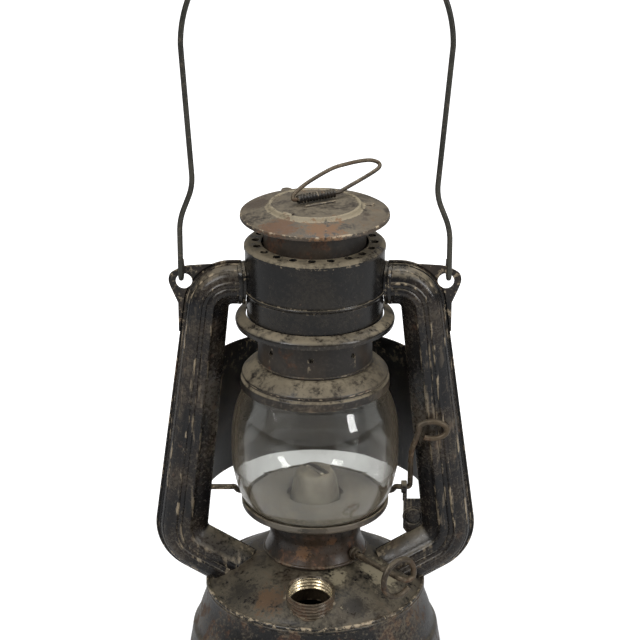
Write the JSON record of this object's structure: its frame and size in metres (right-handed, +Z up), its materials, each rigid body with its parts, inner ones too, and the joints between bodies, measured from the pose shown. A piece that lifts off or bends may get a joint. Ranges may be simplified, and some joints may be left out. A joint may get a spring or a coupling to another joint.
{
  "type": "tubular oil lantern",
  "caption": "Tubular oil lantern with a swinging wire bail, lift wire, clear globe, sprung chimney with cap and a wick knob.",
  "frame": {"origin": "middle of the base, at the height of the surface that it stands on", "axes": "+Z up, -Y the front with the filler, +X to the right as seen from the front"},
  "size_m": [0.1598, 0.1324, 0.3965],
  "materials": {
    "black_paint": "worn satin paint with rust and dust",
    "dusty_paint": "dusty worn paint",
    "rusty_wire": "rusty wire",
    "grey_wire": "dull grey wire",
    "worn_brass": "tarnished",
    "clear_glass": "clear, smoky at the edges",
    "wick_cloth": "woven cotton"
  },
  "bodies": {
    "frame": {"tank_base": "black_paint", "tank_body": "black_paint", "tank_dome": "black_paint", "filler_neck": "worn_brass", "burner_collar": "black_paint", "burner_base": "worn_brass", "burner_cone": "worn_brass", "wick_tube": "worn_brass", "shaft_bush": "black_paint", "hood_shell": "black_paint", "hood_lid": "black_paint", "hood_flange": "black_paint", "hold_down_spring": "grey_wire", "left_tube_front": "black_paint", "left_tube_rear": "black_paint", "right_tube_front": "black_paint", "right_tube_rear": "black_paint", "left_tube_collar": "black_paint", "right_tube_collar": "black_paint", "lift_bracket": "black_paint", "rear_shield": "black_paint"},
    "bail": {"bail": "grey_wire"},
    "lift_wire": {"lift_wire": "rusty_wire"},
    "globe_carrier": {"globe_dish": "black_paint", "globe": "clear_glass"},
    "chimney": {"globe_plate": "dusty_paint", "chimney_tube": "dusty_paint", "cap": "dusty_paint", "cap_strap": "dusty_paint"},
    "cap_loop": {"cap_loop": "rusty_wire"},
    "wick_shaft": {"wick_knob": "rusty_wire", "inner_wick_gear": "worn_brass", "outer_wick_gear": "worn_brass"},
    "wick": {"wick": "wick_cloth"}
  },
  "joints": [
    {"name": "bail_swing", "type": "hinge", "parent": "frame", "child": "bail", "pos_m": [0, 0.00055, 0.2185], "axis": [1, 0, 0], "range_deg": [-128, 128]},
    {"name": "lift_turn", "type": "hinge", "parent": "frame", "child": "lift_wire", "pos_m": [0, 0, 0.1013], "axis": [1, 0, 0], "range_deg": [0, 20]},
    {"name": "globe_lift", "type": "slide", "parent": "frame", "child": "globe_carrier", "axis": [0, 0, 1], "range_m": [0, 0.012], "deforming": ["hold_down_spring"]},
    {"name": "chimney_lift", "type": "slide", "parent": "globe_carrier", "child": "chimney", "axis": [0, 0, 1], "range_m": [0, 0.007], "deforming": ["hold_down_spring"]},
    {"name": "cap_loop_swing", "type": "hinge", "parent": "chimney", "child": "cap_loop", "pos_m": [0.0004, 0.0024, 0.2553], "axis": [0.8829, 0.4695, 0], "range_deg": [-46, 124]},
    {"name": "wick_turn", "type": "hinge", "parent": "frame", "child": "wick_shaft", "pos_m": [0.00386, 0.00318, 0.072], "axis": [0.6361, -0.7716, 0], "range_deg": [-29, 117]},
    {"name": "wick_slide", "type": "slide", "parent": "frame", "child": "wick", "axis": [0, 0, 1], "range_m": [-0.008, 0.002]}
  ],
  "couplings": [
    {"joint": "lift_turn", "follows": "globe_lift", "rad_per_m": 29},
    {"joint": "wick_slide", "follows": "wick_turn", "m_per_rad": -0.0039}
  ]
}
